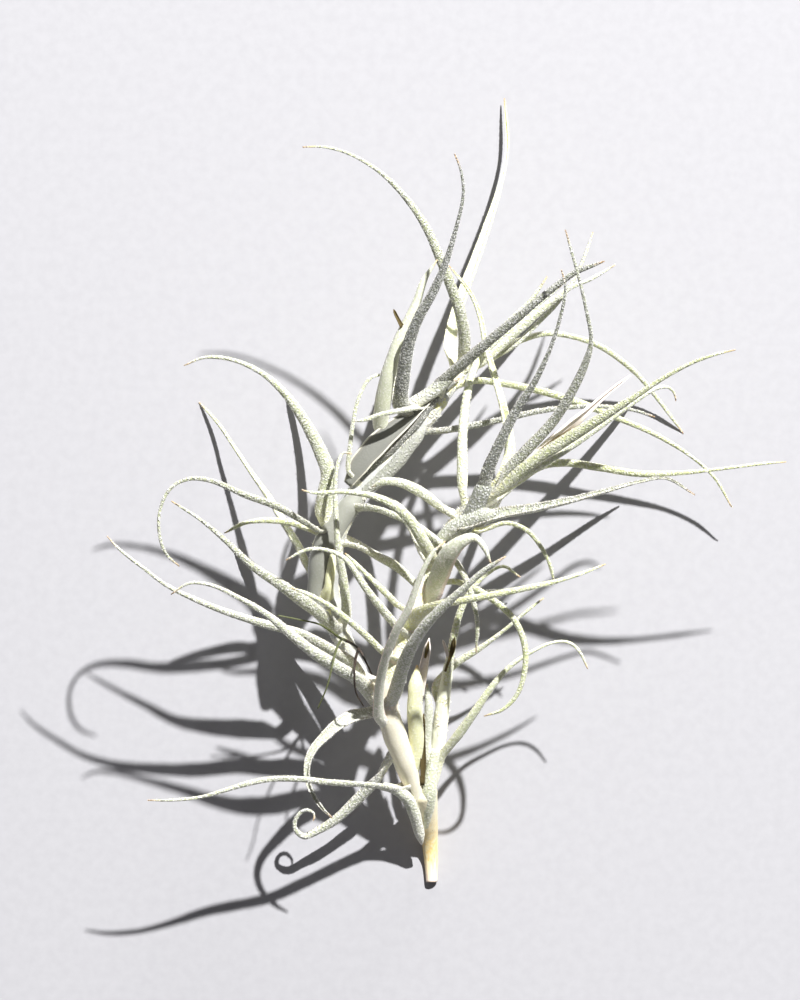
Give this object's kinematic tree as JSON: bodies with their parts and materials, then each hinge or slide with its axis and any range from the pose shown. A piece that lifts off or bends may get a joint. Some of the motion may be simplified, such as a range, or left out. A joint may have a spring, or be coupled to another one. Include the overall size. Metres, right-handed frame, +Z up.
{
  "type": "air plant",
  "caption": "Branched air plant clump with long, narrow, channelled silvery leaves on a bare cut stem, lying on its side to be set on a surface.",
  "frame": {"origin": "middle of the bounding box in X and Y, on the surface that the plant lies on", "axes": "+Z up from the surface; +Y from the cut end towards the upper leaf tips; +X to the right as seen from above"},
  "size_m": [0.1696, 0.1972, 0.0915],
  "materials": {
    "bark": "matt ochre stem, fibrous",
    "silver_leaf": "matt grey-green leaf under silvery scales",
    "pale_leaf": "matt pale yellow-green leaf under silvery scales",
    "dry_spike": "dry papery brown and pink",
    "root": "matt dark wiry root"
  },
  "bodies": {
    "root": {"old_stem": "bark", "main_shoot": "silver_leaf", "left_shoot": "silver_leaf", "right_shoot": "pale_leaf", "flower_spike": "dry_spike", "wiry_roots": "root"}
  },
  "joints": []
}
